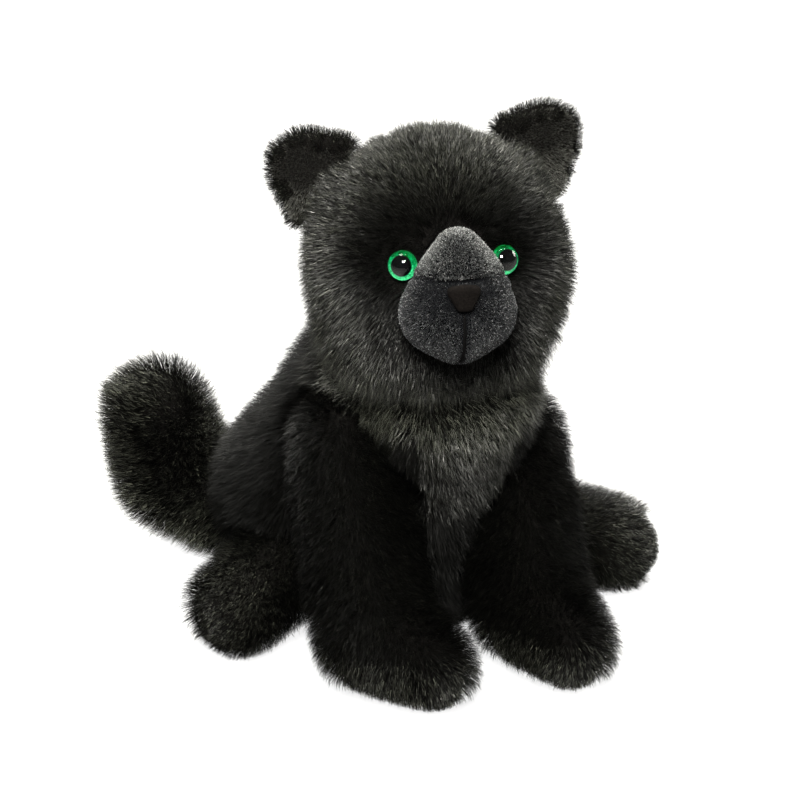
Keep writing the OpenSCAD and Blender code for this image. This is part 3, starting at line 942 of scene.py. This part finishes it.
def make_face():
    """The velour skin with its padded nose. The bridge is broad, it lies a little to the cat's
    left, and it ends in a fold over the nose."""
    nodes = ["bridge_panel", "muzzle_left_panel", "muzzle_right_panel"]
    skin = make_skin("muzzle_skin", nodes, "head", 0.8, "face_velour", FACE_BACKING,
                     voxel=1.2 * MM, depth=-0.1 * MM, smooth=5, puff=0, lumps=0)
    points = get_points(skin.data)
    local = in_head(points)
    bridge = ramp(local[:, 2], 2 * MM, 9 * MM) * (1 - 0.5 * ramp(local[:, 2], 16 * MM, 24 * MM))
    local[:, 0] = local[:, 0] * (1 + BRIDGE_SWELL * bridge) + BRIDGE_SHIFT * bridge
    local[:, 1] -= 1 * MM * bridge
    fold = np.exp(-(((local[:, 2] - FOLD_HEIGHT) / FOLD_WIDTH) ** 2))
    local[:, 1] += FOLD_DEPTH * fold * (1 - ramp(np.abs(local[:, 0]), 8 * MM, 12 * MM))
    set_points(skin.data, local @ np.array(HEAD_TURN).T + np.array(HEAD))
    source = HEAD + HEAD_TURN @ Vector((0, -0.066, 0.006))
    nose = node_tree(["nose"])
    mouth = node_tree(["mouth_stitch"])

    def trim(roots):
        local = in_head(roots)
        above = ramp(local[:, 2], NOSE_TOP - 2 * MM, NOSE_TOP)
        factor = ramp(distance_to(nose, roots), 0.2 * MM + above * 1.5 * MM,
                      1.2 * MM + above * 3.5 * MM)
        # No pile in the crease, so that the near-black backing shows there: painted shade in the
        # fold.
        crease = np.abs(local[:, 2] - FOLD_HEIGHT) < 1.3 * MM
        crease &= np.abs(local[:, 0]) < 9.5 * MM
        factor = np.where(crease, 0, factor)
        return factor * (0.3 + 0.7 * ramp(distance_to(mouth, roots), 0.3 * MM, 2 * MM))

    fibres = grow(Surface(skin, source), VELOUR_PILE, 50, None, trim)
    # The fibres of the bridge take its paler set: painted light.
    over = ramp(in_head(fibres["roots"])[:, 2], NOSE_TOP + 2 * MM, NOSE_TOP + 8 * MM)
    over = over > np.abs(fray(fibres, 0.7))
    make_pile("bridge_pile", choose(fibres, over), "head", BRIDGE_TONES)
    fibres = choose(fibres, ~over)
    left = in_head(fibres["roots"])[:, 0] > 0
    for side, half in (("left", left), ("right", ~left)):
        make_pile(f"muzzle_{side}_pile", choose(fibres, half), "head", VELOUR_TONES)
    nose_piece = make_skin("nose_pad", ["nose"], "head", 0.7, "nose_suede", SUEDE,
                           voxel=0.45 * MM, depth=0, smooth=4, puff=0, lumps=0)
    smooth = nose_piece.modifiers.new("Fine", "SUBSURF")
    smooth.levels = smooth.render_levels = 1


def lathe(name, profile, place, axis, segments=96):
    """Turns a profile of (radius, height) pairs round an axis. Ends at radius 0 close it."""
    mesh = bmesh.new()
    rings = []
    for radius, height in profile:
        steps = 1 if radius == 0 else segments
        rings.append([
            mesh.verts.new((radius * math.cos(turn), radius * math.sin(turn), height))
            for turn in (2 * math.pi * step / steps for step in range(steps))
        ])
    for low, high in zip(rings, rings[1:]):
        for step in range(segments):
            after = (step + 1) % segments
            corners = [low[step % len(low)], low[after % len(low)],
                       high[after % len(high)], high[step % len(high)]]
            mesh.faces.new(list(dict.fromkeys(corners)))
    bmesh.ops.recalc_face_normals(mesh, faces=mesh.faces)
    turn = axis.to_track_quat("Z", "Y").to_matrix().to_4x4()
    bmesh.ops.transform(mesh, matrix=Matrix.Translation(place) @ turn, verts=mesh.verts)
    data = bpy.data.meshes.new(name)
    mesh.to_mesh(data)
    mesh.free()
    return add_object(name, data)


EYE_RADIUS = 6 * MM
POST_RADIUS = 1.8 * MM
DOME_HEIGHT = 4 * MM
DOME_STEPS = 24
PUPIL_RADIUS = 3.7 * MM
PUPIL_HEIGHT = 1 * MM
IRIS_THICKNESS = 2 * MM
# The clear dome reaches this far into the ring and the pupil, so no air shows between them
BOND = 0.05 * MM


def make_eye(side):
    """The glitter ring round the post, and the clear dome over the ring and the pupil."""
    middle = corner_mean(f"eye_{side}_iris")
    axis = (middle - HEAD).normalized()
    seat = middle - axis * IRIS_THICKNESS / 2
    ring = lathe(f"eye_{side}_ring", [
        (POST_RADIUS, 0), (EYE_RADIUS - 0.3 * MM, 0), (EYE_RADIUS, 0.3 * MM),
        (EYE_RADIUS, IRIS_THICKNESS - 0.1 * MM), (EYE_RADIUS - 0.1 * MM, IRIS_THICKNESS),
        (POST_RADIUS, IRIS_THICKNESS), (POST_RADIUS, 0),
    ], seat, axis)
    ring.data.materials.append(IRIS)
    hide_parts(f"eye_{side}_iris")
    finish_piece(ring, "head")
    cap = (EYE_RADIUS**2 + DOME_HEIGHT**2) / (2 * DOME_HEIGHT)
    base = IRIS_THICKNESS - BOND
    widest = math.asin(EYE_RADIUS / cap)
    angles = [widest * (1 - step / DOME_STEPS) for step in range(DOME_STEPS)]
    outside = [
        (cap * math.sin(angle), IRIS_THICKNESS + DOME_HEIGHT - cap + cap * math.cos(angle))
        for angle in angles
    ]
    recess = IRIS_THICKNESS + PUPIL_HEIGHT - BOND
    room = PUPIL_RADIUS - BOND
    dome = lathe(f"eye_{side}_lens", [
        (0, recess), (room, recess), (room, base), (EYE_RADIUS - BOND, base), *outside,
        (0, IRIS_THICKNESS + DOME_HEIGHT),
    ], seat, axis)
    dome.data.materials.append(CLEAR)
    shade_smooth(dome)
    dome.modifiers.new("Edges", "EDGE_SPLIT").split_angle = math.radians(50)
    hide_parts(f"eye_{side}_dome")
    finish_piece(dome, "head")


def make_fillings():
    """The stuffing of every part but the neck, and the pouch that holds the pellets."""
    legs = [f"{leg}_leg_{side}" for leg in ("front", "hind") for side in SIDES]
    for body in ("head", "torso", "tail", *legs):
        make_filling(f"{body}_stuffing", body)
    make_filling("pellet_pouch", "torso", POUCH, depth=0.3 * MM, voxel=1.5 * MM)


# CAD nodes that stay as they are and only get a material
CARRIED = {
    "seat_pellets": PELLETS,
    "eye_left_stem": PUPIL, "eye_right_stem": PUPIL, "eye_left_washer": WASHER,
    "eye_right_washer": WASHER, "mouth_stitch": THREAD,
}


def paint_carried_nodes():
    for node, material in CARRIED.items():
        mesh = frame["nodes"][node].data
        mesh.materials.clear()
        mesh.materials.append(material)


# ---------------------------------------------------------------- stage


def make_stage():
    """A plain floor. It glows only for the camera, so that it is white in the picture and yet
    throws little light up at the black pile."""
    size = 3.0
    mesh = bpy.data.meshes.new("floor")
    corners = [(-size, -size, 0), (size, -size, 0), (size, size, 0), (-size, size, 0)]
    mesh.from_pydata(corners, [], [(0, 1, 2, 3)])
    floor = add_object("floor", mesh)
    material = new_material("floor", (0.2, 0.2, 0.2), 0.8, Emission_Color=(1, 1, 1, 1),
                            Specular_IOR_Level=0.0)
    path = add_node(material, "ShaderNodeLightPath")
    glow = add_node(material, "ShaderNodeMapRange", To_Min=0.15, To_Max=0.93)
    material.node_tree.links.new(path.outputs["Is Camera Ray"], glow.inputs["Value"])
    material.node_tree.links.new(
        glow.outputs["Result"],
        material.node_tree.nodes["Principled BSDF"].inputs["Emission Strength"])
    mesh.materials.append(material)


def add_area_light(name, place, size, power, aim=(0, 0, 0.1)):
    data = bpy.data.lights.new(name, "AREA")
    data.shape = "RECTANGLE"
    data.size, data.size_y = size
    data.energy = power
    data.color = (1.0, 0.98, 0.91)
    light = bpy.data.objects.new(name, data)
    bpy.context.scene.collection.objects.link(light)
    light.location = place
    light.rotation_mode = "QUATERNION"
    light.rotation_quaternion = (Vector(aim) - Vector(place)).to_track_quat("-Z", "Y")


def make_lights():
    """Four soft boxes, and a world that is white for the camera and dim for everything else."""
    world = bpy.data.worlds.new("world")
    bpy.context.scene.world = world
    world.use_nodes = True
    nodes, links = world.node_tree.nodes, world.node_tree.links
    shown = nodes.new("ShaderNodeBackground")
    shown.inputs["Strength"].default_value = 1.0
    shown.inputs["Color"].default_value = (1, 1, 1, 1)
    lit = nodes["Background"]
    lit.inputs["Color"].default_value = (1, 1, 1, 1)
    lit.inputs["Strength"].default_value = 0.10
    path = nodes.new("ShaderNodeLightPath")
    mix = nodes.new("ShaderNodeMixShader")
    links.new(path.outputs["Is Camera Ray"], mix.inputs["Fac"])
    links.new(lit.outputs["Background"], mix.inputs[1])
    links.new(shown.outputs["Background"], mix.inputs[2])
    links.new(mix.outputs["Shader"], nodes["World Output"].inputs["Surface"])
    add_area_light("key_light", (-0.38, -0.85, 0.98), (0.4, 0.4), 38)
    add_area_light("top_light", (-0.05, 0.42, 1.15), (0.7, 0.7), 34)
    add_area_light("side_light", (1.0, 0.1, 0.5), (0.5, 0.5), 8)
    add_area_light("back_light", (0.1, 1.2, 0.6), (0.9, 0.5), 24)
    bpy.context.scene.view_settings.view_transform = "Standard"


make_camera()
make_head()
make_face()
for eye_side in SIDES:
    make_eye(eye_side)
make_torso()
make_neck()
make_limbs()
make_ears()
make_fillings()
paint_carried_nodes()
make_stage()
make_lights()
